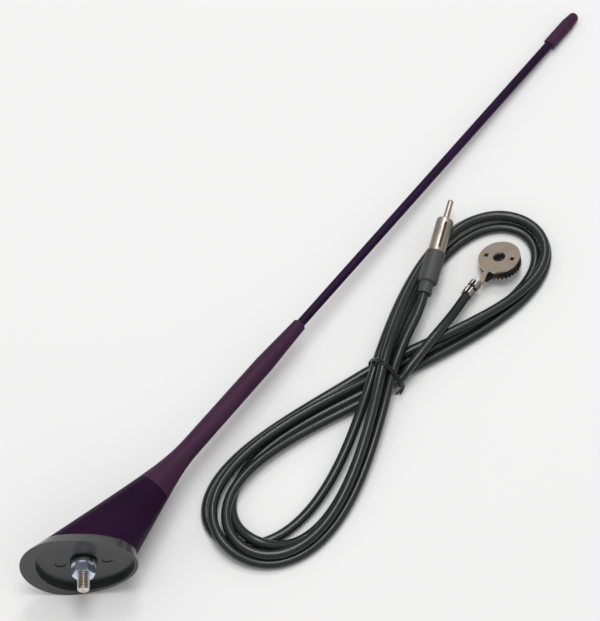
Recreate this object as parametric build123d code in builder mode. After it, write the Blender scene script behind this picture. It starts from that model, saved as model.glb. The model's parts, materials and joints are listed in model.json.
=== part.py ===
"""A car roof aerial lying on its side, with its cable tied in a figure of eight beside it.

Millimetres, +Z up, the table at Z = 0 and +X from the foot towards the tip of the mast.
The origin is under the middle of the aerial.
"""
import os
from math import cos, pi, radians, sin, tan

from build123d import *

# How the aerial lies: where the mast axis meets the plane of the foot, and three angles
FOOT_X = -192.85
FOOT_Y = -1.96
FOOT_Z = 25.48
MAST_SLOPE = 3.192
MAST_ROLL = 12.4
MAST_LEAN = 39.9

# Egg outlines measured from the mast axis, blunt end towards the nose: the rim of the gasket,
# which stands out a little from the foot plane, and the joint between the gasket and the base
RIM_OUT = 0.8
RIM_WIDEST = -10.0
RIM_NOSE = 21.2
RIM_REAR = 35.4
RIM_HALF_WIDTH = 24.79
JOINT_WIDEST = -8.0
JOINT_NOSE = 15.6
JOINT_REAR = 32.5
JOINT_HALF_WIDTH = 20.6

# Gasket under the base
GASKET_T = 6.0
RECESS_WIDEST = -5.1
RECESS_NOSE = 18.5
RECESS_REAR = 28.7
RECESS_HALF_WIDTH = 21.7
RECESS_DEPTH = 2.75
MARK_R = 2.9
MARK_SPAN = 22.6
MARK_DEPTH = 0.4

# Joint between the base and the mast, measured up the mast axis from the foot
SEAM_AT = 51.0
SEAM_R = 8.9
SEAM_GAP = 0.1

# Metal core in the base
CORE_STEM_R = 5.0
CORE_STEM_FROM = 12.0
CORE_BOSS_R = 8.5
CORE_BOSS_T = 8.4
SOCKET_R = 2.6
SOCKET_DEPTH = 10.0

# Stud and what is screwed on it; heights are measured out from the foot plane
STUD_AT = -0.7
STUD_R = 2.95
STUD_OUT = 13.9
STUD_IN = 12.0
STUD_ROUND = 1.0
COLLAR_R = 6.5
COLLAR_BORE_R = 3.2
COLLAR_END = -0.9
WASHER_R = 5.9
WASHER_BORE_R = 3.2
WASHER_T = 1.6
WASHER_SLIT = 1.0
WASHER_SLIT_SLANT = 25.0
WASHER_SLIT_TURN = 40.0
NUT_FLATS = 10.0
NUT_T = 5.0
NUT_BORE_R = 3.1
NUT_CHAMFER_SLOPE = 30.0

# Mast
FERRULE_R = 4.0
FERRULE_T = 16.0
SPIGOT_R = 2.45
SPIGOT_T = 9.0
SEAL_T = 1.2
SEAL_R = 3.95
SEAL_BORE_R = 2.5
RUN_GAP = 0.05
ROD_R = 2.3
ROD_FROM = 58.0
ROD_TO = 399.0
GRIP_NECK_AT = 80.5
GRIP_NECK_R = 4.88
GRIP_TAPER_AT = 138.0
GRIP_TAPER_R = 4.7
GRIP_END_AT = 167.3
GRIP_END_R = 3.4
GRIP_END_ROUND = 1.0
FLARE_SLOPE = 0.21
CAP_FROM = 381.4
CAP_TO = 406.4
CAP_R = 3.3
CAP_TIP_R = 2.7
CAP_TAPER_T = 5.4
CAP_FOOT_ROUND = 0.6

# Cable and the crossing of its figure of eight
CABLE_R = 2.5
CROSS_X = -17.5
CROSS_Y = -49.2
WAIST_HALF_LENGTH = 8.0
WAIST_HALF_WIDTH = 8.6
WAIST_FROM = 1.6
WAIST_TO = 12.2
WAIST_ROUND = 4.0
HANK_T = 7.0
LOOP_STEPS = 6
LOWER_REACH = 124.0
LOWER_HALF_WIDTH = 34.0
LOWER_SHIFT = 1.0
LOWER_HOLE_REACH = 104.0
LOWER_HOLE_HALF_WIDTH = 14.0
LOWER_HOLE_SHIFT = 3.0
UPPER_REACH = 112.0
UPPER_HALF_WIDTH = 28.5
UPPER_SHIFT = -2.5
UPPER_HOLE_REACH = 101.0
UPPER_HOLE_HALF_WIDTH = 18.2
UPPER_HOLE_SHIFT = -4.4
TIE_HALF_WIDTH = 1.9
TIE_T = 1.0

# Plug on one end of the cable
PLUG_X = 26.6
PLUG_Y = -39.8
PLUG_Z = 12.5
PLUG_TURN = 22.1
PLUG_RISE = 1.8
PLUG_ROLL = -32.0
BOOT_NECK_R = 3.6
BOOT_NECK_T = 6.0
BOOT_R = 5.0
BOOT_T = 23.5
BOOT_ROUND = 0.8
SHELL_R = 4.35
SHELL_WALL = 0.6
SHELL_SHANK_R = 4.05
SHELL_FROM = 12.0
SHELL_TO = 42.7
SHELL_MOUTH_ROUND = 0.5
SLOT_W = 1.4
SLOT_FROM = 25.5
SLOT_TO = 40.0
SLOTS = 4
SLOT_TURN = 45.0
BUSH_FROM = 13.0
BUSH_TO = 23.0
PIN_R = 1.55
PIN_SHANK_R = 1.2
PIN_FROM = 10.0
PIN_TO = 54.4
PIN_ROUND = 1.2

# Contact disc on the other end, tilted on the table
DISC_X = 67.0
DISC_Y = -59.0
DISC_Z = 4.13
DISC_TILT_X = 0.105
DISC_TILT_Y = 0.366
DISC_TILT_Z = 0.924
TEETH_T = 1.6
TEETH = 32
CLAW_R = 10.5
CLAW_BORE_R = 9.2
CLAW_T = 2.0
BODY_R = 10.6
BODY_T = 3.4
PLATE_R = 10.8
PLATE_T = 1.0
DISC_BORE_R = 3.2
LUG_SIDE = 2.2
LUG_AT = 7.1
LUG_TURN = 75.0
TONGUE_W = 2.6
TONGUE_T = 0.8
TONGUE_FROM = 9.0
TONGUE_BEND = 12.4
TONGUE_END = 17.2
TONGUE_FOOT = 2.6
TAIL_LENGTH = 14.4
TAIL_T = 1.8
TAIL_ROOT_W = 13.0
TAIL_TIP_W = 3.0

# Crimp round the end of the cable at the disc
CRIMP_X = 50.0
CRIMP_Y = -55.4
CRIMP_Z = 6.6
CRIMP_R = 3.1
CRIMP_LENGTH = 9.0
CRIMP_EAR = 1.6
CRIMP_GAP = 1.2
CRIMP_NOTCH_FROM = 3.6
CRIMP_NOTCH = 1.6

# Routes of the two tails, chosen points from the waist of the hank outwards
BEND_SHARE = 0.45
PLUG_ROUTE = [
    (-9.5, -50.0, 9.6),
    (0.3, -47.4, 10.4),
    (9.5, -45.4, 11.3),
    (18.27, -43.18, 12.22),
]
DISC_ROUTE = [
    (-9.5, -54.8, 9.4),
    (4.0, -56.6, 9.9),
    (18.0, -57.8, 9.9),
    (30.0, -57.2, 9.0),
    (40.5, -55.8, 7.1),
]

# Planes: the mast axis is Z of mast_plane, and +Z of foot_plane points into the base
level_mast = Plane(
    origin=(FOOT_X, FOOT_Y, FOOT_Z),
    x_dir=(0, -1, 0),
    z_dir=(cos(radians(MAST_SLOPE)), 0, -sin(radians(MAST_SLOPE))),
)
mast_plane = Plane(level_mast.location * Rotation(0, 0, -MAST_ROLL))
foot_plane = Plane(mast_plane.location * Rotation(0, -MAST_LEAN, 0))
rim_plane = foot_plane.offset(-RIM_OUT)
joint_plane = rim_plane.offset(GASKET_T)
mast_side = Plane(origin=mast_plane.origin, x_dir=mast_plane.x_dir, z_dir=-mast_plane.y_dir)
stud_plane = Plane(
    origin=foot_plane.from_local_coords((STUD_AT, 0, 0)),
    x_dir=foot_plane.x_dir,
    z_dir=-foot_plane.z_dir,
)
stud_side = Plane(origin=stud_plane.origin, x_dir=stud_plane.x_dir, z_dir=-stud_plane.y_dir)
plug_level = Plane(
    origin=(PLUG_X, PLUG_Y, PLUG_Z),
    x_dir=(0, 0, 1),
    z_dir=(cos(radians(PLUG_TURN)), sin(radians(PLUG_TURN)), 0),
)
plug_plane = Plane(plug_level.location * Rotation(0, PLUG_RISE, 0) * Rotation(0, 0, PLUG_ROLL))
plug_side = Plane(origin=plug_plane.origin, x_dir=plug_plane.x_dir, z_dir=-plug_plane.y_dir)
disc_normal = Vector(DISC_TILT_X, DISC_TILT_Y, DISC_TILT_Z).normalized()
disc_plane = Plane(
    origin=(DISC_X, DISC_Y, DISC_Z),
    x_dir=Vector(0, 1, 0).cross(disc_normal),
    z_dir=disc_normal,
)


def egg(widest, nose, rear, half_width):
    """Outline of two half ellipses that share their widest line."""
    with BuildLine() as outline:
        EllipticalCenterArc((widest, 0), rear, half_width, -90, arc_size=180)
        EllipticalCenterArc((widest, 0), nose, half_width, 90, arc_size=180)
    make_face(outline.edges())


def core_shape(mode):
    """Stem along the mast axis on a boss along the stud."""
    with BuildSketch(mast_plane.offset(CORE_STEM_FROM)) as stem:
        Circle(CORE_STEM_R)
    extrude(stem.sketch, amount=SEAM_AT - CORE_STEM_FROM, mode=mode)
    with BuildSketch(stud_plane.offset(-joint_in)) as boss:
        Circle(CORE_BOSS_R)
    extrude(boss.sketch, amount=-CORE_BOSS_T, mode=mode)


def revolved(plane, points, axis):
    """Solid of revolution from a closed outline of (radius, height) points."""
    with BuildSketch(plane) as profile:
        with BuildLine():
            Polyline(*points, close=True)
        make_face()
    revolve(profile.sketch, axis=axis)


def side_axis(plane):
    """Axis of revolution that stands up in a side plane."""
    return Axis(plane.origin, plane.y_dir)


def loop_outline(direction, reach, half_width, shift, mode=Mode.ADD):
    """Closed drop shape that starts and ends at the crossing, by the formula of a figure of eight."""

    def arm(first, last):
        points = []
        for step in range(LOOP_STEPS + 1):
            turn = pi * (first + (last - first) * step / LOOP_STEPS)
            out = CROSS_X + direction * reach * sin(turn)
            side = CROSS_Y - half_width * sin(2 * turn) + shift * sin(turn)
            points.append((out, side))
        return points

    with BuildLine() as outline:
        Spline(*arm(0, 0.5))
        Spline(*arm(0.5, 1))
    make_face(outline.edges(), mode=mode)


def bend_radii(points):
    """Radius of the arc at each corner of a route, from its shorter run and its turn."""
    radii = []
    for before, corner, after in zip(points, points[1:], points[2:]):
        run_in = Vector(*corner) - Vector(*before)
        run_out = Vector(*after) - Vector(*corner)
        half_turn = radians(run_in.get_angle(run_out)) / 2
        radii.append(BEND_SHARE * min(run_in.length, run_out.length) / tan(half_turn))
    return radii


def cable_tube(points):
    """Round cable along straight runs joined by tangent arcs."""
    radii = bend_radii(points)
    print("bend radii", [round(radius, 1) for radius in radii])
    with BuildLine() as route:
        FilletPolyline(*points, radius=radii)
    with BuildSketch(Plane(origin=route.line @ 0, z_dir=route.line % 0)) as section:
        Circle(CABLE_R)
    sweep(section.sketch, path=route.line)
    print("cable length", round(route.wire().length, 1))


# Base: a leaning cone from the egg of the gasket's joint to the round joint with the mast
joint_in = GASKET_T - RIM_OUT
floor_in = RECESS_DEPTH - RIM_OUT
with BuildPart() as base_housing:
    with BuildSketch(joint_plane, mode=Mode.PRIVATE) as base_foot:
        egg(JOINT_WIDEST, JOINT_NOSE, JOINT_REAR, JOINT_HALF_WIDTH)
    with BuildSketch(mast_plane.offset(SEAM_AT), mode=Mode.PRIVATE) as neck:
        with BuildLine():
            CenterArc((0, 0), SEAM_R, -90, 180)
            CenterArc((0, 0), SEAM_R, 90, 180)
        make_face()
    loft(sections=[base_foot.sketch, neck.sketch], ruled=True)
    core_shape(Mode.SUBTRACT)

# Gasket: a skirt that widens from the joint to the rim, hollowed under the base
with BuildPart() as foot_gasket:
    with BuildSketch(rim_plane, mode=Mode.PRIVATE) as rim:
        egg(RIM_WIDEST, RIM_NOSE, RIM_REAR, RIM_HALF_WIDTH)
    with BuildSketch(joint_plane, mode=Mode.PRIVATE) as joint:
        egg(JOINT_WIDEST, JOINT_NOSE, JOINT_REAR, JOINT_HALF_WIDTH)
    loft(sections=[rim.sketch, joint.sketch], ruled=True)
    with BuildSketch(rim_plane):
        egg(RECESS_WIDEST, RECESS_NOSE, RECESS_REAR, RECESS_HALF_WIDTH)
    extrude(amount=RECESS_DEPTH, mode=Mode.SUBTRACT)
    with BuildSketch(stud_plane.offset(-floor_in)):
        with GridLocations(MARK_SPAN, 0, 2, 1):
            Circle(MARK_R)
    extrude(amount=-MARK_DEPTH, mode=Mode.SUBTRACT)
    with BuildSketch(stud_plane):
        Circle(COLLAR_R)
    extrude(amount=-joint_in, mode=Mode.SUBTRACT)

with BuildPart() as feed_core:
    core_shape(Mode.ADD)
    with BuildSketch(mast_plane.offset(SEAM_AT)):
        Circle(SOCKET_R)
    extrude(amount=-SOCKET_DEPTH, mode=Mode.SUBTRACT)
    with BuildSketch(stud_plane):
        Circle(STUD_R)
    extrude(amount=-STUD_IN, mode=Mode.SUBTRACT)

with BuildPart() as stud_collar:
    with BuildSketch(stud_plane.offset(-joint_in)):
        Circle(COLLAR_R)
        Circle(COLLAR_BORE_R, mode=Mode.SUBTRACT)
    extrude(amount=joint_in + COLLAR_END)

# Stud, washer and nut
with BuildPart() as mounting_stud:
    with BuildSketch(stud_plane.offset(-STUD_IN)):
        Circle(STUD_R)
    extrude(amount=STUD_IN + STUD_OUT)
    fillet(mounting_stud.edges().sort_by(Axis(stud_plane.origin, stud_plane.z_dir))[-1], STUD_ROUND)

with BuildPart() as spring_washer:
    with BuildSketch(stud_plane.offset(COLLAR_END)):
        Circle(WASHER_R)
        Circle(WASHER_BORE_R, mode=Mode.SUBTRACT)
    extrude(amount=WASHER_T)
    washer_middle = stud_plane.offset(COLLAR_END + WASHER_T / 2).location
    slit_turn = Rotation(0, 0, WASHER_SLIT_TURN) * Rotation(WASHER_SLIT_SLANT, 0, 0)
    with BuildSketch(Plane(washer_middle * slit_turn)):
        with Locations((WASHER_R, 0)):
            Rectangle(2 * (WASHER_R - WASHER_BORE_R / 2), WASHER_SLIT)
    extrude(amount=2 * WASHER_T, both=True, mode=Mode.SUBTRACT)

nut_base = COLLAR_END + WASHER_T
nut_corner = NUT_FLATS / 2 / cos(pi / 6)
nut_drop = (nut_corner - NUT_FLATS / 2) * tan(radians(NUT_CHAMFER_SLOPE))
with BuildPart() as hex_nut:
    with BuildSketch(stud_plane.offset(nut_base)):
        RegularPolygon(nut_corner, 6)
        Circle(NUT_BORE_R, mode=Mode.SUBTRACT)
    extrude(amount=NUT_T)
    with BuildSketch(stud_side):
        with BuildLine():
            Polyline(
                (0, nut_base),
                (NUT_FLATS / 2, nut_base),
                (nut_corner, nut_base + nut_drop),
                (nut_corner, nut_base + NUT_T - nut_drop),
                (NUT_FLATS / 2, nut_base + NUT_T),
                (0, nut_base + NUT_T),
                close=True,
            )
        make_face()
    revolve(axis=side_axis(stud_side), mode=Mode.INTERSECT)

# Mast
mast_foot = SEAM_AT + SEAM_GAP
with BuildPart() as mast_ferrule:
    revolved(
        mast_side,
        [
            (0, mast_foot - SPIGOT_T),
            (SPIGOT_R, mast_foot - SPIGOT_T),
            (SPIGOT_R, mast_foot + SEAL_T),
            (FERRULE_R, mast_foot + SEAL_T),
            (FERRULE_R, mast_foot + FERRULE_T),
            (ROD_R, mast_foot + FERRULE_T),
            (ROD_R, ROD_FROM),
            (0, ROD_FROM),
        ],
        side_axis(mast_side),
    )

with BuildPart() as seam_seal:
    with BuildSketch(mast_plane.offset(mast_foot)):
        Circle(SEAL_R)
        Circle(SEAL_BORE_R, mode=Mode.SUBTRACT)
    extrude(amount=SEAL_T - RUN_GAP)

with BuildPart() as whip_rod:
    with BuildSketch(mast_plane.offset(ROD_FROM)):
        Circle(ROD_R)
    extrude(amount=ROD_TO - ROD_FROM)

with BuildPart() as grip_sleeve:
    with BuildSketch(mast_side):
        with BuildLine():
            Spline(
                (SEAM_R, mast_foot),
                (GRIP_NECK_R, GRIP_NECK_AT),
                tangents=((-FLARE_SLOPE, 1), (0, 1)),
            )
            Polyline(
                (GRIP_NECK_R, GRIP_NECK_AT),
                (GRIP_TAPER_R, GRIP_TAPER_AT),
                (GRIP_END_R, GRIP_END_AT - GRIP_END_ROUND),
                (GRIP_END_R - GRIP_END_ROUND, GRIP_END_AT),
                (ROD_R, GRIP_END_AT),
                (ROD_R, mast_foot + FERRULE_T),
                (FERRULE_R, mast_foot + FERRULE_T),
                (FERRULE_R, mast_foot),
                (SEAM_R, mast_foot),
            )
        make_face()
    revolve(axis=side_axis(mast_side))

with BuildPart() as tip_cap:
    with BuildSketch(mast_side):
        with BuildLine():
            Polyline(
                (ROD_R, ROD_TO),
                (ROD_R, CAP_FROM),
                (CAP_R - CAP_FOOT_ROUND, CAP_FROM),
                (CAP_R, CAP_FROM + CAP_FOOT_ROUND),
                (CAP_R, CAP_TO - CAP_TIP_R - CAP_TAPER_T),
                (CAP_TIP_R, CAP_TO - CAP_TIP_R),
            )
            CenterArc((0, CAP_TO - CAP_TIP_R), CAP_TIP_R, 0, 90)
            Polyline((0, CAP_TO), (0, ROD_TO), (ROD_R, ROD_TO))
        make_face()
    revolve(axis=side_axis(mast_side))

# Cable
with BuildPart() as lead_hank:
    with BuildSketch():
        loop_outline(-1, LOWER_REACH, LOWER_HALF_WIDTH, LOWER_SHIFT)
        loop_outline(1, UPPER_REACH, UPPER_HALF_WIDTH, UPPER_SHIFT)
        loop_outline(-1, LOWER_HOLE_REACH, LOWER_HOLE_HALF_WIDTH, LOWER_HOLE_SHIFT, Mode.SUBTRACT)
        loop_outline(1, UPPER_HOLE_REACH, UPPER_HOLE_HALF_WIDTH, UPPER_HOLE_SHIFT, Mode.SUBTRACT)
        with Locations((CROSS_X, CROSS_Y)):
            Rectangle(WAIST_HALF_LENGTH, 2 * LOWER_HALF_WIDTH, mode=Mode.SUBTRACT)
    extrude(amount=HANK_T)
    with BuildSketch(Plane.YZ.offset(CROSS_X)):
        with Locations((CROSS_Y, (WAIST_FROM + WAIST_TO) / 2)):
            RectangleRounded(2 * WAIST_HALF_WIDTH, WAIST_TO - WAIST_FROM, WAIST_ROUND)
    extrude(amount=WAIST_HALF_LENGTH, both=True)

with BuildPart() as cable_tie:
    with BuildSketch(Plane.YZ.offset(CROSS_X)):
        with Locations((CROSS_Y, (WAIST_FROM + WAIST_TO) / 2)):
            RectangleRounded(
                2 * (WAIST_HALF_WIDTH + TIE_T), WAIST_TO - WAIST_FROM + 2 * TIE_T, WAIST_ROUND + TIE_T
            )
            RectangleRounded(
                2 * WAIST_HALF_WIDTH, WAIST_TO - WAIST_FROM, WAIST_ROUND, mode=Mode.SUBTRACT
            )
    extrude(amount=TIE_HALF_WIDTH, both=True)

with BuildPart() as plug_tail:
    cable_tube([*PLUG_ROUTE, (PLUG_X, PLUG_Y, PLUG_Z)])

with BuildPart() as disc_tail:
    cable_tube([*DISC_ROUTE, (CRIMP_X, CRIMP_Y, CRIMP_Z)])

# Plug
with BuildPart() as plug_boot:
    revolved(
        plug_side,
        [
            (0, 0),
            (BOOT_NECK_R, 0),
            (BOOT_NECK_R, BOOT_NECK_T),
            (BOOT_R - BOOT_ROUND, BOOT_NECK_T),
            (BOOT_R, BOOT_NECK_T + BOOT_ROUND),
            (BOOT_R, BOOT_T),
            (SHELL_SHANK_R, BOOT_T),
            (SHELL_SHANK_R, SHELL_FROM),
            (PIN_SHANK_R, SHELL_FROM),
            (PIN_SHANK_R, PIN_FROM),
            (0, PIN_FROM),
        ],
        side_axis(plug_side),
    )

with BuildPart() as plug_shell:
    revolved(
        plug_side,
        [
            (SHELL_R - SHELL_WALL, SHELL_FROM),
            (SHELL_SHANK_R, SHELL_FROM),
            (SHELL_SHANK_R, BOOT_T),
            (SHELL_R, BOOT_T),
            (SHELL_R, SHELL_TO - SHELL_MOUTH_ROUND),
            (SHELL_R - SHELL_MOUTH_ROUND, SHELL_TO),
            (SHELL_R - SHELL_WALL, SHELL_TO),
        ],
        side_axis(plug_side),
    )
    with BuildSketch(plug_plane.offset(SLOT_FROM)):
        with PolarLocations(SHELL_R, SLOTS, start_angle=SLOT_TURN):
            Rectangle(SHELL_R, SLOT_W)
    extrude(amount=SLOT_TO - SLOT_FROM, mode=Mode.SUBTRACT)

with BuildPart() as plug_insulator:
    with BuildSketch(plug_plane.offset(BUSH_FROM)):
        Circle(SHELL_R - SHELL_WALL)
        Circle(PIN_SHANK_R, mode=Mode.SUBTRACT)
    extrude(amount=BUSH_TO - BUSH_FROM)

with BuildPart() as plug_pin:
    with BuildSketch(plug_plane.offset(PIN_FROM)):
        Circle(PIN_SHANK_R)
    extrude(amount=BUSH_TO - PIN_FROM)
    with BuildSketch(plug_plane.offset(BUSH_TO)):
        Circle(PIN_R)
    extrude(amount=PIN_TO - BUSH_TO)
    fillet(plug_pin.edges().sort_by(Axis(plug_plane.origin, plug_plane.z_dir))[-1], PIN_ROUND)

# Contact disc
body_from = CLAW_T
plate_from = CLAW_T + BODY_T
with BuildPart() as claw_ring:
    with BuildSketch(disc_plane):
        Circle(CLAW_R)
        Circle(CLAW_BORE_R, mode=Mode.SUBTRACT)
    extrude(amount=CLAW_T)
    notch_half = pi * CLAW_R / TEETH
    for tooth in range(TEETH):
        notch_plane = Plane(disc_plane.location * Rotation(0, 0, 360 * tooth / TEETH))
        with BuildSketch(Plane(notch_plane.origin, x_dir=notch_plane.y_dir, z_dir=notch_plane.x_dir)):
            with BuildLine():
                Polyline((-notch_half, 0), (notch_half, 0), (0, TEETH_T), close=True)
            make_face()
        extrude(amount=2 * CLAW_R, mode=Mode.SUBTRACT)

with BuildPart() as contact_insulator:
    with BuildSketch(disc_plane.offset(body_from)):
        with BuildLine():
            Polyline(
                (0, TAIL_ROOT_W / 2),
                (-TAIL_LENGTH, TAIL_TIP_W / 2),
                (-TAIL_LENGTH, -TAIL_TIP_W / 2),
                (0, -TAIL_ROOT_W / 2),
                close=True,
            )
        make_face()
    extrude(amount=TAIL_T)
    with BuildSketch(disc_plane.offset(body_from)):
        Circle(BODY_R)
    extrude(amount=BODY_T)
    with BuildSketch(disc_plane):
        Circle(DISC_BORE_R)
    extrude(amount=plate_from, mode=Mode.SUBTRACT)

# The plate and the tongue bent down to the crimp are one stamping
tongue_plane = Plane(origin=disc_plane.origin, x_dir=disc_plane.x_dir, z_dir=-disc_plane.y_dir)
with BuildPart() as contact_plate:
    with BuildSketch(disc_plane.offset(plate_from)):
        Circle(PLATE_R)
        Circle(DISC_BORE_R, mode=Mode.SUBTRACT)
        with PolarLocations(LUG_AT, 2, start_angle=180 - LUG_TURN):
            Rectangle(LUG_SIDE, LUG_SIDE, mode=Mode.SUBTRACT)
    extrude(amount=PLATE_T)
    with BuildSketch(tongue_plane):
        with BuildLine():
            Polyline(
                (-TONGUE_FROM, plate_from),
                (-TONGUE_BEND, plate_from),
                (-TONGUE_END, TONGUE_FOOT),
                (-TONGUE_END, TONGUE_FOOT + TONGUE_T),
                (-TONGUE_BEND, plate_from + TONGUE_T),
                (-TONGUE_FROM, plate_from + TONGUE_T),
                close=True,
            )
        make_face()
    extrude(amount=TONGUE_W / 2, both=True)

# Crimp, open along its top, with a notch between two pairs of ears
crimp_out = Vector(*DISC_ROUTE[-1]) - Vector(CRIMP_X, CRIMP_Y, CRIMP_Z)
crimp_plane = Plane(origin=(CRIMP_X, CRIMP_Y, CRIMP_Z), x_dir=(0, -1, 0), z_dir=crimp_out)
crimp_wall = CRIMP_R - CABLE_R
ear_middle = (CRIMP_GAP + crimp_wall) / 2
with BuildPart() as crimp_ferrule:
    with BuildSketch(crimp_plane):
        Circle(CRIMP_R)
        with Locations((ear_middle, CRIMP_R), (-ear_middle, CRIMP_R)):
            Rectangle(crimp_wall, 2 * CRIMP_EAR)
        Circle(CABLE_R, mode=Mode.SUBTRACT)
        with Locations((0, CRIMP_R)):
            Rectangle(CRIMP_GAP, 2 * CRIMP_R, mode=Mode.SUBTRACT)
    extrude(amount=CRIMP_LENGTH)
    with BuildSketch(crimp_plane.offset(CRIMP_NOTCH_FROM)):
        with Locations((0, CRIMP_R)):
            Rectangle(2 * CRIMP_R, 2 * CRIMP_R)
    extrude(amount=CRIMP_NOTCH, mode=Mode.SUBTRACT)

PIECES = {
    "base_housing": base_housing,
    "foot_gasket": foot_gasket,
    "feed_core": feed_core,
    "stud_collar": stud_collar,
    "mounting_stud": mounting_stud,
    "spring_washer": spring_washer,
    "hex_nut": hex_nut,
    "mast_ferrule": mast_ferrule,
    "seam_seal": seam_seal,
    "whip_rod": whip_rod,
    "grip_sleeve": grip_sleeve,
    "tip_cap": tip_cap,
    "lead_hank": lead_hank,
    "cable_tie": cable_tie,
    "plug_tail": plug_tail,
    "disc_tail": disc_tail,
    "plug_boot": plug_boot,
    "plug_shell": plug_shell,
    "plug_insulator": plug_insulator,
    "plug_pin": plug_pin,
    "claw_ring": claw_ring,
    "contact_insulator": contact_insulator,
    "contact_plate": contact_plate,
    "crimp_ferrule": crimp_ferrule,
}

os.makedirs("parts", exist_ok=True)
for node, piece in PIECES.items():
    piece.part.label = node
    export_step(piece.part, f"parts/{node}.step")
    box = piece.part.bounding_box()
    print(node, "volume", round(piece.part.volume, 1), "box", box.min, box.max)
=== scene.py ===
# %% [markdown]
# # A car roof aerial and its lead
#
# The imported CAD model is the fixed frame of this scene: a leaning base with its
# stud and nut, a screwed-on mast, and a tied cable with a plug and a contact disc.
# Loading it gives every rigid piece in its true place, so this lesson only adds
# what solids do badly: the loose cable, its tie, the fine thread and the finishes.

# %% Load the frame
import json
from math import cos, pi, sin, sqrt

import bpy
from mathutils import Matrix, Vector


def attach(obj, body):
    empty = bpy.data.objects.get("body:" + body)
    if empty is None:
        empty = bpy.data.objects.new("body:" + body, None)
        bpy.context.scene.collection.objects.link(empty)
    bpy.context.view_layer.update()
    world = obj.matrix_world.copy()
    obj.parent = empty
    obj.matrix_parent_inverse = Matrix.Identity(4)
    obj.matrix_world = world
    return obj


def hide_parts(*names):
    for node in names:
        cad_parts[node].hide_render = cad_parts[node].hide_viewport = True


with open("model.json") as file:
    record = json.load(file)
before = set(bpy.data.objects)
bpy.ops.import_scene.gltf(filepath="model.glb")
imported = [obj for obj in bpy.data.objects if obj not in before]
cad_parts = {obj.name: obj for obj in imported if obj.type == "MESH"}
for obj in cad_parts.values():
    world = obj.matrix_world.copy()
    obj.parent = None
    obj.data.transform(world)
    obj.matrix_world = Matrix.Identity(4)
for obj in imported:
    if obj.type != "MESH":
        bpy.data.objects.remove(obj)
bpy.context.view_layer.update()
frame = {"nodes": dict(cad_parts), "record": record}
scene = bpy.context.scene
scene.view_settings.view_transform = "Standard"

# %% [markdown]
# ## The camera
#
# The photograph looks steeply down on the table from beyond the foot of the aerial,
# with a long lens that flattens the perspective. A camera could be placed by eye,
# but its height, distance and focal length were fitted to known sizes on the object,
# so the numbers are used directly and the camera only has to be aimed.

# %% Camera
CAMERA_AT = Vector((-0.51235, -0.3790, 1.2923))
CAMERA_AIM = Vector((-0.01415, 0.0075, 0.0))
SENSOR_MM, LENS_MM = 36.0, 170.57


def add_object(name, data):
    """Object in the scene that shows this data."""
    added = bpy.data.objects.new(name, data)
    scene.collection.objects.link(added)
    return added


def turned_to(aim, place):
    """Rotation with which a camera or a lamp at the place looks at the aim."""
    return (aim - place).to_track_quat("-Z", "Y").to_euler()


camera_data = bpy.data.cameras.new("table_camera")
camera_data.sensor_fit = "HORIZONTAL"
camera_data.sensor_width = SENSOR_MM
camera_data.lens = LENS_MM
camera = add_object("table_camera", camera_data)
camera.location = CAMERA_AT
camera.rotation_euler = turned_to(CAMERA_AIM, CAMERA_AT)
scene.camera = camera
print("camera distance", round((CAMERA_AIM - CAMERA_AT).length, 3), "m")

# %% [markdown]
# ## The ends of the cable
#
# The lead is about two metres of thin round coaxial cable, with an aerial plug on one
# end and a contact disc on the other. Its ends could be two straight runs, but they
# leave the tied bundle in a gentle curve. So they follow the points of their solids in
# the CAD model, moved by up to three millimetres to pass over the turns under them.

# %% Ends of the cable
# In metres, from the plug to the crossing and from the crossing to the contact disc.
PLUG_TAIL = [
    (0.0266, -0.0398, 0.0125),
    (0.01827, -0.04318, 0.01222),
    (0.0095, -0.0452, 0.0118),
    (0.0003, -0.0473, 0.0116),
    (-0.0095, -0.0504, 0.0115),
]
DISC_TAIL = [
    (-0.0085, -0.0574, 0.0095),
    (0.0040, -0.0577, 0.0114),
    (0.0180, -0.0578, 0.0113),
    (0.0300, -0.0572, 0.0092),
    (0.0405, -0.0558, 0.0071),
    (0.0500, -0.0554, 0.0066),
]
print("ends of the cable", len(PLUG_TAIL), "and", len(DISC_TAIL), "points")

# %% [markdown]
# ## The turns of the cable
#
# Between its ends the cable is folded into a figure of eight: four loops towards the
# foot of the aerial, three the other way, and a tie where they all cross. The turns
# could be drawn point by point, but they are all nearly the same curve, so each is
# given by a few measures. Every loop has its own reach, width and heights, because
# loose turns never lie quite on top of each other.

# %% Turns of the cable
# How far to the side of the crossing the eight passes go, in millimetres, in the
# order in which the cable makes them from the plug to the contact disc.
PASSES = (-4.38, 0.58, 0.62, -4.50, 5.58, 6.14, 1.31, -8.90)
# For each loop: its side of the crossing, then in millimetres how far it reaches,
# its widths on the way out and back, how it leans and how it bows.
LOOPS = [
    (-1, 121.67, 28.75, 28.03, -2.20, 3.54),
    (+1, 107.18, 23.56, 17.55, 5.70, -13.87),
    (-1, 111.14, 22.51, 25.83, -4.38, 3.84),
    (+1, 113.46, 24.94, 26.01, -3.39, -4.24),
    (-1, 119.11, 22.39, 23.48, 1.39, 9.86),
    (+1, 111.74, 24.91, 24.50, -1.95, -6.43),
    (-1, 117.10, 22.91, 26.19, -10.42, 9.17),
]
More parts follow.
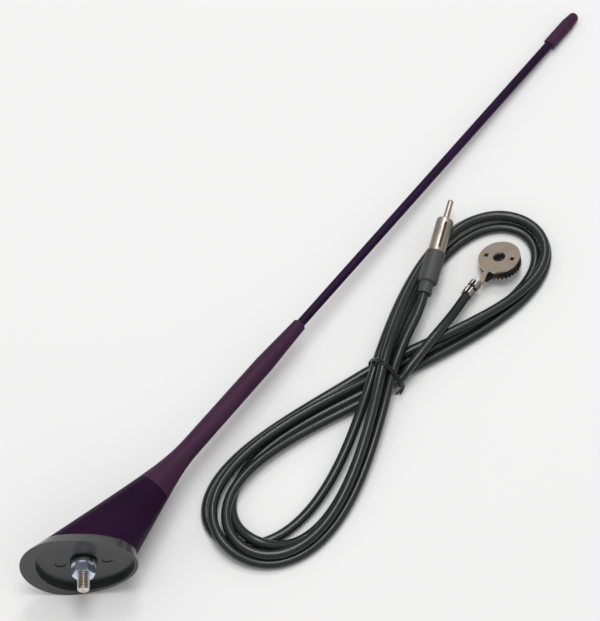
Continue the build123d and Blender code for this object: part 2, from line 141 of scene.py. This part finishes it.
# Heights of the middle of the cable in millimetres at the even steps of each loop,
# from lying on the table, 2.5, to crossing over the other turns. Each loop has one
# row for its way out and one for its way back.
LOOP_HEIGHTS = [
    (11.2, 9.5, 7.1, 4.8, 3.2, 2.5, 2.5, 2.5, 2.9, 4.1,
     5.8, 7.2, 7.4, 6.9, 6.4, 6.3, 6.4, 6.4, 6.2, 5.5),
    (4.2, 2.5, 2.5, 2.5, 2.5, 2.5, 2.5, 2.5, 2.5, 2.5,
     2.5, 2.5, 2.5, 2.5, 2.5, 2.5, 3.0, 4.3, 6.4, 8.7),
    (10.1, 9.6, 7.6, 5.3, 3.4, 2.5, 2.5, 3.4, 5.3, 7.2,
     7.1, 5.5, 3.7, 2.6, 2.5, 2.5, 2.5, 2.5, 2.5, 2.9),
    (4.2, 3.6, 2.9, 2.5, 2.5, 2.5, 2.5, 2.5, 2.5, 2.5,
     2.5, 2.5, 2.5, 2.5, 2.5, 2.5, 2.5, 3.1, 5.0, 7.4),
    (9.3, 9.4, 7.9, 5.8, 4.0, 2.9, 2.5, 2.5, 2.5, 2.5,
     2.5, 2.5, 2.5, 2.5, 2.5, 2.5, 2.5, 2.5, 2.5, 2.9),
    (4.2, 6.1, 6.9, 7.3, 7.1, 6.9, 6.9, 7.1, 7.1, 7.0,
     6.9, 6.8, 6.8, 6.7, 6.7, 6.7, 6.4, 7.5, 10.1, 13.0),
    (14.8, 14.3, 12.3, 9.9, 8.0, 6.8, 6.5, 6.4, 6.4, 6.7,
     7.1, 7.3, 7.5, 7.6, 7.3, 6.7, 5.6, 4.5, 3.9, 4.3),
]
LAST_HEIGHT = 6.7
print("turns of the cable", len(LOOPS), "loops")

# %% [markdown]
# ## The route of the cable
#
# Along a loop, the reach follows a sine and the width a sine of twice the angle, which
# together draw half a figure of eight. Points copied from a drawing would show every
# slip of the hand, but a formula keeps all the turns smooth. The lean, the bow and the
# step from one pass at the crossing to the next are added to it.

# %% Route of the cable
MM = 0.001
CROSS_X, CROSS_Y = -17.5 * MM, -48.7 * MM
LOOP_STEPS = 20


def loop_points(loop, heights, leaves, meets):
    """Points of one loop, from the crossing to just before it meets it again."""
    side, reach, width_out, width_back, lean, bow = loop
    points = []
    for step in range(LOOP_STEPS):
        along = step / LOOP_STEPS
        out = sin(pi * along)
        ease = 0.5 - 0.5 * cos(pi * along)
        width = width_out + (width_back - width_out) * ease
        beside = leaves + (meets - leaves) * ease
        x = side * reach * out
        y = -width * sin(2 * pi * along) + lean * out + bow * out**2 + beside * (1 - out)
        points.append((CROSS_X + x * MM, CROSS_Y + y * MM, heights[step] * MM))
    return points


cable_route = list(PLUG_TAIL)
for number, loop in enumerate(LOOPS):
    leaves, meets = PASSES[number], PASSES[number + 1]
    cable_route += loop_points(loop, LOOP_HEIGHTS[number], leaves, meets)
cable_route.append((CROSS_X, CROSS_Y + PASSES[-1] * MM, LAST_HEIGHT * MM))
cable_route += DISC_TAIL
cable_route.reverse()
print("cable route", len(cable_route), "points")

# %% [markdown]
# ## The cable
#
# The black jacket is extruded round the wires, with the same thickness from end to
# end. A mesh tube could be swept along the route by hand, but a cable is one line
# with a thickness, and a single curve with a round bevel says exactly that. The
# curve runs from the contact disc to the plug and stands for all the cable's solids.

# %% Cable
CABLE_R, CABLE_ROUNDNESS = 2.5 * MM, 6
STEPS_PER_POINT = 6


def round_line(name, route, radius, roundness):
    """Curve that follows the route's points smoothly and has a round section."""
    curve = bpy.data.curves.new(name, "CURVE")
    curve.dimensions = "3D"
    # The bevel has a radius of 1, which each point's own radius brings down to size.
    curve.bevel_depth = 1.0
    curve.bevel_resolution = roundness
    curve.resolution_u = STEPS_PER_POINT
    curve.use_fill_caps = True
    line = curve.splines.new("NURBS")
    line.points.add(len(route) - 1)
    for point, place in zip(line.points, route):
        point.co = (*place, 1.0)
        point.radius = radius
    line.order_u = 3
    line.use_endpoint_u = True
    return add_object(name, curve)


lead_cable = round_line("lead_cable", cable_route, CABLE_R, CABLE_ROUNDNESS)
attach(lead_cable, "base")
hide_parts("lead_hank", "plug_tail", "disc_tail")
print("cable made of one spline, order", lead_cable.data.splines[0].order_u)

# %% [markdown]
# ## The tie
#
# A thin black tie goes twice round the crossing. A flat band would look like a
# cable tie from an electrician's box, but the real one is round and wound like a
# rubber ring, so it is a second curve. Its path follows the outside of the turns
# that it holds: high where three of them are stacked, low at the side of the last one.
# Both of its ends come out at the low side and lie along the bundle.

# %% Tie round the crossing
TIE_R, TIE_ROUNDNESS = 0.45 * MM, 4
TIE_X = -18.0 * MM
TIE_TURNS, TIE_ADVANCE = 2, 1.1 * MM
# Outline of the bundle across the crossing, in millimetres: up the low side, over
# the top, down the far side and back along the table.
TIE_OUTLINE = [
    (-60.4, 5.6), (-60.2, 9.0), (-56.2, 13.4), (-51.0, 17.0), (-47.6, 17.8),
    (-44.6, 16.4), (-40.6, 11.2), (-39.4, 7.0), (-39.6, 2.6),
    (-41.8, 0.62), (-47.5, 0.62), (-54.0, 0.62), (-58.4, 2.8),
]
TIE_FIRST_END = [(-21.8, -58.8, 1.0), (-20.2, -59.8, 1.7)]
TIE_LAST_END = [(-18.6, -60.8, 3.0), (-20.6, -60.6, 1.2)]


def in_metres(places):
    """The same places, given in millimetres, in metres."""
    return [tuple(value * MM for value in place) for place in places]


tie_route = in_metres(TIE_FIRST_END)
tie_count = TIE_TURNS * len(TIE_OUTLINE)
for number in range(tie_count + 1):
    y, z = TIE_OUTLINE[number % len(TIE_OUTLINE)]
    x = TIE_X + TIE_ADVANCE * TIE_TURNS * (number / tie_count - 0.5)
    tie_route.append((x, y * MM, z * MM))
tie_route += in_metres(TIE_LAST_END)
tie_ring = round_line("tie_ring", tie_route, TIE_R, TIE_ROUNDNESS)
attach(tie_ring, "base")
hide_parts("cable_tie")
print("tie", TIE_TURNS, "turns,", len(tie_route), "points")

# %% [markdown]
# ## The thread
#
# The stud has a rolled M6 thread, one millimetre from crest to crest. A bump could
# fake it, but the thread shows against the pale table at the end of the stud, so it
# needs a real outline. Rolling leaves flat crests and narrow roots, so the depth of a
# point is a ramp, cut off at both ends, of how far the point is along the helix.

# %% Shape of the thread
# Heights along the stud's axis, radii and depths are in metres.
STUD_FROM, STUD_TO = -0.0120, 0.0139
STUD_R, STUD_ROUND = 0.00295, 0.0010
THREAD_FROM, THREAD_PITCH, THREAD_DEPTH = -0.0020, 0.0010, 0.00061
# Shares of half a pitch that the flat crest and the flank take, the root has the rest.
CREST_SHARE, FLANK_SHARE = 0.16, 0.64


def groove_share(height, turn):
    """Depth of the thread as a share, 0 on the flat crests and 1 in the narrow roots."""
    if height < THREAD_FROM or height > STUD_TO - STUD_ROUND / 2:
        return 0.0
    along = (height / THREAD_PITCH - turn) % 1.0
    from_crest = abs(along - 0.5) * 2
    return min(max((from_crest - CREST_SHARE) / FLANK_SHARE, 0.0), 1.0)


def thread_radius(height, groove):
    """Radius of the stud at a height, with its end rounded."""
    radius = STUD_R - THREAD_DEPTH * groove
    past = height - (STUD_TO - STUD_ROUND)
    if past > 0:
        rounded = STUD_R - STUD_ROUND + sqrt(max(STUD_ROUND**2 - past**2, 0.0))
        radius = min(radius, rounded)
    return radius


print("thread", round((STUD_TO - THREAD_FROM) / THREAD_PITCH, 1), "turns")

# %% [markdown]
# ## Points of the stud
#
# Blender's screw modifier could wind a profile into a helix, but its two ends would
# have to be closed by hand. Rings of points round the axis are simpler: every point
# gets the radius that the thread has there. It also keeps its depth in the groove,
# which the stud's finish will need.

# %% Points of the stud
# The stud's foot, its axis and two directions square to it, as in the CAD model.
STUD_FOOT = Vector((-0.193304739, -0.001435512, 0.025389865))
STUD_AXIS = Vector((-0.758305, -0.626486, 0.180246))
STUD_RIGHT = Vector((0.649627, -0.749269, 0.128765))
STUD_UP = Vector((0.054383, 0.214735, 0.975157))
STUD_SIDES, STUD_RING_STEP = 48, 0.00008

stud_heights = [STUD_FROM, THREAD_FROM - STUD_RING_STEP]
while stud_heights[-1] + STUD_RING_STEP < STUD_TO:
    stud_heights.append(stud_heights[-1] + STUD_RING_STEP)
stud_heights.append(STUD_TO)
stud_points, stud_grooves = [], []
for height in stud_heights:
    for side in range(STUD_SIDES):
        turn = side / STUD_SIDES
        stud_grooves.append(groove_share(height, turn))
        radius = thread_radius(height, stud_grooves[-1])
        out = STUD_RIGHT * cos(2 * pi * turn) + STUD_UP * sin(2 * pi * turn)
        stud_points.append(STUD_FOOT + STUD_AXIS * height + out * radius)
print("stud", len(stud_heights), "rings of", STUD_SIDES, "points")

# %% [markdown]
# ## The stud
#
# The real stud is one steel rod with the thread rolled into it. Its skin could be made
# by bridging the rings one after the other with Blender's tools, but four neighbours
# of two rings always make one face, so the faces are counted out. A flat face closes
# each end.

# %% Threaded stud
stud_faces = []
for ring in range(len(stud_heights) - 1):
    for side in range(STUD_SIDES):
        following = (side + 1) % STUD_SIDES
        low, high = ring * STUD_SIDES, (ring + 1) * STUD_SIDES
        stud_faces.append((low + side, low + following, high + following, high + side))
last = (len(stud_heights) - 1) * STUD_SIDES
stud_faces.append(tuple(reversed(range(STUD_SIDES))))
stud_faces.append(tuple(range(last, last + STUD_SIDES)))
stud_mesh = bpy.data.meshes.new("threaded_stud")
stud_mesh.from_pydata(stud_points, [], stud_faces)
stud_mesh.polygons.foreach_set("use_smooth", [True] * len(stud_faces))
groove_values = stud_mesh.attributes.new("groove", "FLOAT", "POINT")
groove_values.data.foreach_set("value", stud_grooves)
threaded_stud = add_object("threaded_stud", stud_mesh)
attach(threaded_stud, "base")
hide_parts("mounting_stud")
print("threaded stud", len(stud_faces), "faces")

# %% [markdown]
# ## Shared effects
#
# Moulded plastic and rubber have two things in common: a fine grain that only shows
# in the highlights, and broad cloudy patches where they were handled. Writing them
# into every material would repeat the same nodes, so they are a node group that is
# built once and placed in each material with its own values. A group starts with the
# sockets through which it is used.

# %% Sockets of the moulded skin
def effect(name, inputs, outputs):
    """Shader group with a vector input and with named float inputs and outputs."""
    tree = bpy.data.node_groups.new(name, "ShaderNodeTree")
    tree.interface.new_socket("Vector", in_out="INPUT", socket_type="NodeSocketVector")
    for label in inputs:
        tree.interface.new_socket(label, in_out="INPUT", socket_type="NodeSocketFloat")
    for label in outputs:
        tree.interface.new_socket(label, in_out="OUTPUT", socket_type="NodeSocketFloat")
    return tree, tree.nodes.new("NodeGroupInput"), tree.nodes.new("NodeGroupOutput")


moulded_skin, skin_in, skin_out = effect(
    "moulded_skin", ["Grain Scale", "Patch Scale"], ["Grain", "Patches"]
)
print("effect", moulded_skin.name, "with", len(moulded_skin.interface.items_tree), "sockets")

# %% [markdown]
# ## Grain and patches
#
# Both are noise. Grain and patches could come from one noise with many octaves, but
# they need scales of their own, so there are two. The patches also go through a soft
# step, which makes clouds with quiet places between them.

# %% Grain and patches
PATCH_EDGES = (0.32, 0.68)


def add_node(tree, kind, inputs=None, **properties):
    """Node of a kind with some of its properties and inputs set."""
    node = tree.nodes.new(kind)
    for key, value in properties.items():
        setattr(node, key, value)
    for label, value in (inputs or {}).items():
        node.inputs[label].default_value = value
    return node


def noise_at(tree, group_in, scale_label, inputs):
    """Noise in a group, at the scale that one of the group's inputs gives."""
    noise = add_node(tree, "ShaderNodeTexNoise", inputs)
    tree.links.new(group_in.outputs["Vector"], noise.inputs["Vector"])
    tree.links.new(group_in.outputs[scale_label], noise.inputs["Scale"])
    return noise.outputs["Fac"]


def soft_mask(tree, value, low, high):
    """Mask that goes smoothly from 0 to 1 as the value goes from low to high."""
    edges = {"From Min": low, "From Max": high}
    node = add_node(tree, "ShaderNodeMapRange", edges, interpolation_type="SMOOTHSTEP")
    tree.links.new(value, node.inputs["Value"])
    return node.outputs["Result"]


grain = noise_at(moulded_skin, skin_in, "Grain Scale", {"Detail": 4.0})
patches = noise_at(moulded_skin, skin_in, "Patch Scale", {"Detail": 3.0, "Roughness": 0.6})
patch_mask = soft_mask(moulded_skin, patches, *PATCH_EDGES)
moulded_skin.links.new(grain, skin_out.inputs["Grain"])
moulded_skin.links.new(patch_mask, skin_out.inputs["Patches"])
print("effect", moulded_skin.name, "with", len(moulded_skin.nodes), "nodes")

# %% [markdown]
# ## Dust
#
# Dark plastic always carries a few pale specks. They could be scattered as tiny
# pieces, but they have no thickness that shows, so they are drawn by a second group:
# a spot at the middle of each cell of a Voronoi pattern, kept only where a broad
# noise says that dust has settled.

# %% Settled dust
LINT_SCALE, LINT_EDGES = 60.0, (0.45, 0.75)

settled_dust, dust_in, dust_out = effect("settled_dust", ["Speck Scale", "Amount"], ["Dust"])
specks = add_node(settled_dust, "ShaderNodeTexVoronoi", feature="F1")
near_speck = add_node(settled_dust, "ShaderNodeMath", operation="LESS_THAN")
lint = add_node(settled_dust, "ShaderNodeTexNoise", {"Scale": LINT_SCALE, "Detail": 5.0})
lint_mask = soft_mask(settled_dust, lint.outputs["Fac"], *LINT_EDGES)
dusty = add_node(settled_dust, "ShaderNodeMath", operation="MULTIPLY")
settled_dust.links.new(dust_in.outputs["Vector"], specks.inputs["Vector"])
settled_dust.links.new(dust_in.outputs["Speck Scale"], specks.inputs["Scale"])
settled_dust.links.new(dust_in.outputs["Vector"], lint.inputs["Vector"])
settled_dust.links.new(specks.outputs["Distance"], near_speck.inputs[0])
settled_dust.links.new(dust_in.outputs["Amount"], near_speck.inputs[1])
settled_dust.links.new(near_speck.outputs["Value"], dusty.inputs[0])
settled_dust.links.new(lint_mask, dusty.inputs[1])
settled_dust.links.new(dusty.outputs["Value"], dust_out.inputs["Dust"])
print("effect", settled_dust.name, "with", len(settled_dust.nodes), "nodes")

# %% [markdown]
# ## Tool marks and tarnish
#
# Turned and stamped metal keeps fine marks of the tool, and its plating dulls in
# patches. Both could be painted on each piece, but they are alike on all of them, so
# a third group puts out the marks for the bump and the tarnish as a mask.

# %% Tool marks
TARNISH_EDGES = (0.4, 0.7)

tool_marks, marks_in, marks_out = effect(
    "tool_marks", ["Line Scale", "Tarnish Scale"], ["Lines", "Tarnish"]
)
lines = noise_at(tool_marks, marks_in, "Line Scale", {"Detail": 2.0})
tarnish = noise_at(tool_marks, marks_in, "Tarnish Scale", {"Detail": 4.0})
tarnish_mask = soft_mask(tool_marks, tarnish, *TARNISH_EDGES)
tool_marks.links.new(lines, marks_out.inputs["Lines"])
tool_marks.links.new(tarnish_mask, marks_out.inputs["Tarnish"])
print("effect", tool_marks.name, "with", len(tool_marks.nodes), "nodes")

# %% [markdown]
# ## Parts of a finish
#
# Every finish of the aerial is put together from the same parts: a shader, the shared
# effects, a colour and a roughness that run between two values, and a fine relief.
# They could be wired by hand in each material, but a helper for each part keeps the
# wiring in one place, and the finishes below stay short.

# %% Parts of a finish
def new_finish(name):
    """New material with its node tree and its shader."""
    material = bpy.data.materials.new(name)
    material.use_nodes = True
    return material, material.node_tree, material.node_tree.nodes["Principled BSDF"]


def place_group(tree, group, values):
    """Group node in a material, fed with the piece's own coordinates."""
    coordinates = add_node(tree, "ShaderNodeTexCoord")
    node = add_node(tree, "ShaderNodeGroup", values, node_tree=group)
    tree.links.new(coordinates.outputs["Object"], node.inputs["Vector"])
    return node


def blended(tree, mask, first, second):
    """Colour that runs from first to second as the mask goes from 0 to 1."""
    mix = add_node(tree, "ShaderNodeMix", data_type="RGBA")
    tree.links.new(mask, mix.inputs["Factor"])
    for label, colour in (("A", first), ("B", second)):
        socket = next(item for item in mix.inputs if item.name == label and item.type == "RGBA")
        if isinstance(colour, tuple):
            socket.default_value = (*colour, 1.0)
        else:
            tree.links.new(colour, socket)
    return next(item for item in mix.outputs if item.type == "RGBA")


def ranged(tree, mask, low, high):
    """Value that runs from low to high as the mask goes from 0 to 1."""
    node = add_node(tree, "ShaderNodeMapRange", {"To Min": low, "To Max": high})
    tree.links.new(mask, node.inputs["Value"])
    return node.outputs["Result"]


def add_relief(tree, shader, height, depth):
    """Bump on a shader, with its depth in millimetres."""
    bump = add_node(tree, "ShaderNodeBump", {"Strength": 1.0, "Distance": depth * MM})
    tree.links.new(height, bump.inputs["Height"])
    tree.links.new(bump.outputs["Normal"], shader.inputs["Normal"])


print("parts for finishes from", len(bpy.data.node_groups), "effects")

# %% [markdown]
# ## How a moulded finish is built
#
# A single colour would look like a toy, because real plastic and rubber are never
# quite even. So each moulded finish has two close colours and two close roughnesses,
# mixed by the cloudy patches, with a few dust specks on top and the grain as a bump.

# %% Moulded finish
PATCH_SCALE, SPECK_SCALE = 30.0, 700.0
DUST_COLOUR = (0.30, 0.29, 0.28)


def moulded(name, dark, light, rough, grain_scale, grain_depth, dust, shine):
    """Plastic or rubber finish with patches, dust and grain."""
    material, tree, shader = new_finish(name)
    shader.inputs["Specular IOR Level"].default_value = shine
    skin_values = {"Grain Scale": grain_scale, "Patch Scale": PATCH_SCALE}
    skin = place_group(tree, moulded_skin, skin_values)
    specks = place_group(tree, settled_dust, {"Speck Scale": SPECK_SCALE, "Amount": dust})
    colour = blended(tree, skin.outputs["Patches"], dark, light)
    dusty = blended(tree, specks.outputs["Dust"], colour, DUST_COLOUR)
    roughness = ranged(tree, skin.outputs["Patches"], *rough)
    tree.links.new(dusty, shader.inputs["Base Color"])
    tree.links.new(roughness, shader.inputs["Roughness"])
    add_relief(tree, shader, skin.outputs["Grain"], grain_depth)
    return material


print("a moulded finish uses", moulded_skin.name, "and", settled_dust.name)

# %% [markdown]
# ## Plastic and rubber
#
# The base and the rod are moulded in a very dark purple, the grip and the cap are a
# lighter plum rubber, and the gasket, cable and boot are black or grey. The gasket
# looks grey in the photograph, and a grey rubber would be the obvious choice, but the
# nut has a dark mirror image in it. So it is nearly black and smooth, and the grey is
# the table. The cable's jacket is smooth too, and most of the others are satin.

# %% Moulded finishes
# The depth of the grain is in millimetres. Dust and shine are shares.
MOULDED_VALUES = {
    "base_shell": dict(
        dark=(0.0165, 0.0040, 0.0205), light=(0.0210, 0.0053, 0.0260), rough=(0.45, 0.55),
        grain_scale=900.0, grain_depth=0.04, dust=0.05, shine=0.06,
    ),
    "gasket": dict(
        dark=(0.024, 0.026, 0.026), light=(0.030, 0.032, 0.032), rough=(0.18, 0.26),
        grain_scale=1200.0, grain_depth=0.01, dust=0.06, shine=0.5,
    ),
    "collar": dict(
        dark=(0.006, 0.006, 0.006), light=(0.010, 0.010, 0.010), rough=(0.45, 0.60),
        grain_scale=1000.0, grain_depth=0.03, dust=0.04, shine=0.3,
    ),
    "seal_rubber": dict(
        dark=(0.008, 0.006, 0.009), light=(0.013, 0.010, 0.014), rough=(0.60, 0.75),
        grain_scale=1100.0, grain_depth=0.03, dust=0.04, shine=0.3,
    ),
    "rod_skin": dict(
        dark=(0.014, 0.0036, 0.024), light=(0.019, 0.0050, 0.031), rough=(0.36, 0.46),
        grain_scale=1400.0, grain_depth=0.02, dust=0.04, shine=0.12,
    ),
    "grip_rubber": dict(
        dark=(0.044, 0.0150, 0.039), light=(0.054, 0.0195, 0.048), rough=(0.50, 0.60),
        grain_scale=1500.0, grain_depth=0.05, dust=0.05, shine=0.15,
    ),
    "cable_jacket": dict(
        dark=(0.012, 0.0150, 0.0150), light=(0.018, 0.0210, 0.0210), rough=(0.18, 0.26),
        grain_scale=900.0, grain_depth=0.02, dust=0.05, shine=0.4,
    ),
    "tie_plastic": dict(
        dark=(0.013, 0.014, 0.014), light=(0.020, 0.021, 0.021), rough=(0.24, 0.34),
        grain_scale=900.0, grain_depth=0.02, dust=0.03, shine=0.5,
    ),
    "boot_rubber": dict(
        dark=(0.043, 0.045, 0.046), light=(0.062, 0.064, 0.066), rough=(0.40, 0.52),
        grain_scale=1100.0, grain_depth=0.04, dust=0.05, shine=0.4,
    ),
    "plug_bush": dict(
        dark=(0.55, 0.52, 0.46), light=(0.66, 0.63, 0.57), rough=(0.40, 0.50),
        grain_scale=1100.0, grain_depth=0.02, dust=0.03, shine=0.4,
    ),
    "disc_plastic": dict(
        dark=(0.010, 0.011, 0.011), light=(0.017, 0.018, 0.018), rough=(0.40, 0.52),
        grain_scale=1100.0, grain_depth=0.03, dust=0.05, shine=0.4,
    ),
}
MOULDED = {slot: moulded(slot, **values) for slot, values in MOULDED_VALUES.items()}
print("moulded finishes", sorted(MOULDED))

# %% [markdown]
# ## How a plated finish is built
#
# Metal gets its look from what it mirrors. A grey plastic with a strong shine could
# pass for it from afar, but close up it lacks the tinted mirror images. So a plated
# finish keeps a plain full metallic, varies its colour and roughness with the tarnish,
# and has the tool marks as a bump.

# %% Plated finish
TARNISH_SCALE = 160.0


def plated(name, bright, dull, rough, line_scale, mark_depth):
    """Plated metal with fine tool marks and patches of tarnish."""
    material, tree, shader = new_finish(name)
    shader.inputs["Metallic"].default_value = 1.0
    mark_values = {"Line Scale": line_scale, "Tarnish Scale": TARNISH_SCALE}
    marks = place_group(tree, tool_marks, mark_values)
    colour = blended(tree, marks.outputs["Tarnish"], bright, dull)
    roughness = ranged(tree, marks.outputs["Tarnish"], *rough)
    tree.links.new(colour, shader.inputs["Base Color"])
    tree.links.new(roughness, shader.inputs["Roughness"])
    add_relief(tree, shader, marks.outputs["Lines"], mark_depth)
    return material


print("a plated finish uses", tool_marks.name)

# %% [markdown]
# ## Plated metal
#
# The nut is bright zinc with a blue cast, the washer is plain steel and the stud a
# warmer one, and the plug and the contact plate are nickel that has gone a little
# brown. One bright metal could serve for all of them, but side by side they differ in
# tint more than in shine, so each has its own pair of colours. The claw ring is dark
# steel, and the core of the base is brass.

# %% Metal finishes
# The depth of the tool marks is in millimetres.
PLATED_VALUES = {
    "core_metal": dict(
        bright=(0.60, 0.47, 0.24), dull=(0.45, 0.34, 0.17), rough=(0.25, 0.40),
        line_scale=1500.0, mark_depth=0.010,
    ),
    "stud_metal": dict(
        bright=(0.72, 0.68, 0.63), dull=(0.50, 0.45, 0.40), rough=(0.20, 0.34),
        line_scale=2400.0, mark_depth=0.006,
    ),
    "washer_metal": dict(
        bright=(0.72, 0.73, 0.75), dull=(0.54, 0.54, 0.56), rough=(0.30, 0.45),
        line_scale=2000.0, mark_depth=0.006,
    ),
    "nut_metal": dict(
        bright=(0.70, 0.77, 0.93), dull=(0.52, 0.58, 0.70), rough=(0.32, 0.44),
        line_scale=1600.0, mark_depth=0.008,
    ),
    "plug_nickel": dict(
        bright=(0.48, 0.43, 0.38), dull=(0.34, 0.30, 0.25), rough=(0.36, 0.48),
        line_scale=2200.0, mark_depth=0.005,
    ),
    "claw_metal": dict(
        bright=(0.26, 0.25, 0.24), dull=(0.15, 0.14, 0.14), rough=(0.30, 0.45),
        line_scale=1800.0, mark_depth=0.008,
    ),
    "disc_metal": dict(
        bright=(0.70, 0.59, 0.49), dull=(0.53, 0.44, 0.36), rough=(0.30, 0.44),
        line_scale=1800.0, mark_depth=0.008,
    ),
    "crimp_metal": dict(
        bright=(0.52, 0.50, 0.47), dull=(0.36, 0.34, 0.31), rough=(0.42, 0.54),
        line_scale=2000.0, mark_depth=0.010,
    ),
}
PLATED = {slot: plated(slot, **values) for slot, values in PLATED_VALUES.items()}
print("plated finishes", sorted(PLATED))

# %% [markdown]
# ## Brown roots of the thread
#
# The roots of the stud's thread are coloured a dark brown, strongest at the bottom of the
# groove. A noise could stain the stud here and there, but the brown follows the groove,
# so the depth that the stud's points keep is the mask for it.

# %% Brown in the thread roots
# Dark brown mixed into the stud's colour by the depth of the groove, strongest in the roots.
ROOT_BROWN = (0.13, 0.075, 0.045)

stud_tree = PLATED["stud_metal"].node_tree
stud_colour = stud_tree.nodes["Principled BSDF"].inputs["Base Color"]
unbrowned_colour = stud_colour.links[0].from_socket
groove_depth = add_node(stud_tree, "ShaderNodeAttribute", attribute_name="groove")
root_browned = blended(stud_tree, groove_depth.outputs["Fac"], unbrowned_colour, ROOT_BROWN)
stud_tree.links.new(root_browned, stud_colour)
print("grease in the thread of", threaded_stud.name)

# %% [markdown]
# ## Finishes on the pieces
#
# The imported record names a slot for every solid, and each finish has the name of its
# slot. The finishes could be handed out one by one, but following the record keeps
# both in step. The three pieces made here take the slots of the solids they stand for.

# %% Finishes on the pieces
FINISH = {**MOULDED, **PLATED}
node_slot = {part["node"]: part["material_slot"] for part in frame["record"]["subparts"]}
for name, node in frame["nodes"].items():
    node.data.materials.clear()
    node.data.materials.append(FINISH[node_slot[name]])
made_here = [
    (lead_cable, "cable_jacket"), (tie_ring, "tie_plastic"), (threaded_stud, "stud_metal")
]
for piece, slot in made_here:
    piece.data.materials.append(FINISH[slot])
print("solids with a finish", len(node_slot), "and pieces", len(made_here))

# %% [markdown]
# ## The table
#
# The aerial lies on a white table, of which only the top and the shadows on it show.
# A table with legs and edges would never be seen, so a wide matt plane is enough.

# %% Table
TABLE_REACH = 4.0
TABLE_COLOUR = (0.885, 0.893, 0.892, 1.0)
TABLE_ROUGHNESS, TABLE_SHINE = 0.9, 0.1

table_corners = [
    (x * TABLE_REACH, y * TABLE_REACH, 0) for x, y in ((-1, -1), (1, -1), (1, 1), (-1, 1))
]
table_mesh = bpy.data.meshes.new("table_top")
table_mesh.from_pydata(table_corners, [], [(0, 1, 2, 3)])
table_top = add_object("table_top", table_mesh)
table_paint, _, table_shader = new_finish("table_paint")
table_shader.inputs["Base Color"].default_value = TABLE_COLOUR
table_shader.inputs["Roughness"].default_value = TABLE_ROUGHNESS
table_shader.inputs["Specular IOR Level"].default_value = TABLE_SHINE
table_mesh.materials.append(table_paint)
print("table", 2 * TABLE_REACH, "m across")

# %% [markdown]
# ## The lamps
#
# One lamp could light the whole table, but the photograph shows two things that a
# single lamp cannot give: shadows that fall almost straight down, and a thin bright
# line along every turn of the cable, whichever way it runs. A lamp overhead makes the
# shadows. A second one stands opposite the camera, where level cables mirror it into
# the lens.

# %% Lamps
LAMP_AIM = Vector((0.0, 0.0, 0.0))
LAMPS = {
    # name: place and side of the square in metres, power in watts
    "key_lamp": (Vector((0.02, 0.0, 1.50)), 0.5, 7.2),
    "far_lamp": (Vector((1.04, 0.80, 2.70)), 0.6, 14.0),
}

for name, (place, size, power) in LAMPS.items():
    lamp_data = bpy.data.lights.new(name, "AREA")
    lamp_data.shape = "SQUARE"
    lamp_data.size = size
    lamp_data.energy = power
    lamp = add_object(name, lamp_data)
    lamp.location = place
    lamp.rotation_euler = turned_to(LAMP_AIM, place)
print("lamps", sorted(LAMPS))

# %% [markdown]
# ## The room
#
# The shadows in the photograph are short and pale, because a bright room fills them.
# Walls could be built for that, but a world that is a plain dome does the same. It is
# brighter overhead than at the horizon, as a ceiling is.

# %% Room
SKY_COLOUR = (1.0, 0.972, 0.97, 1.0)
SKY_AT_HORIZON, SKY_OVERHEAD = 0.15, 0.80

studio = bpy.data.worlds.new("studio")
studio.use_nodes = True
scene.world = studio
sky = studio.node_tree
sky_background = sky.nodes["Background"]
sky_background.inputs["Color"].default_value = SKY_COLOUR
sky_coordinates = add_node(sky, "ShaderNodeTexCoord")
sky_height = add_node(sky, "ShaderNodeSeparateXYZ")
sky.links.new(sky_coordinates.outputs["Generated"], sky_height.inputs["Vector"])
sky_strength = ranged(sky, sky_height.outputs["Z"], SKY_AT_HORIZON, SKY_OVERHEAD)
sky.links.new(sky_strength, sky_background.inputs["Strength"])
print("room", SKY_AT_HORIZON, "at the horizon,", SKY_OVERHEAD, "overhead")

# %% [markdown]
# ## End of the scene

# %% End
print("end of the scene")
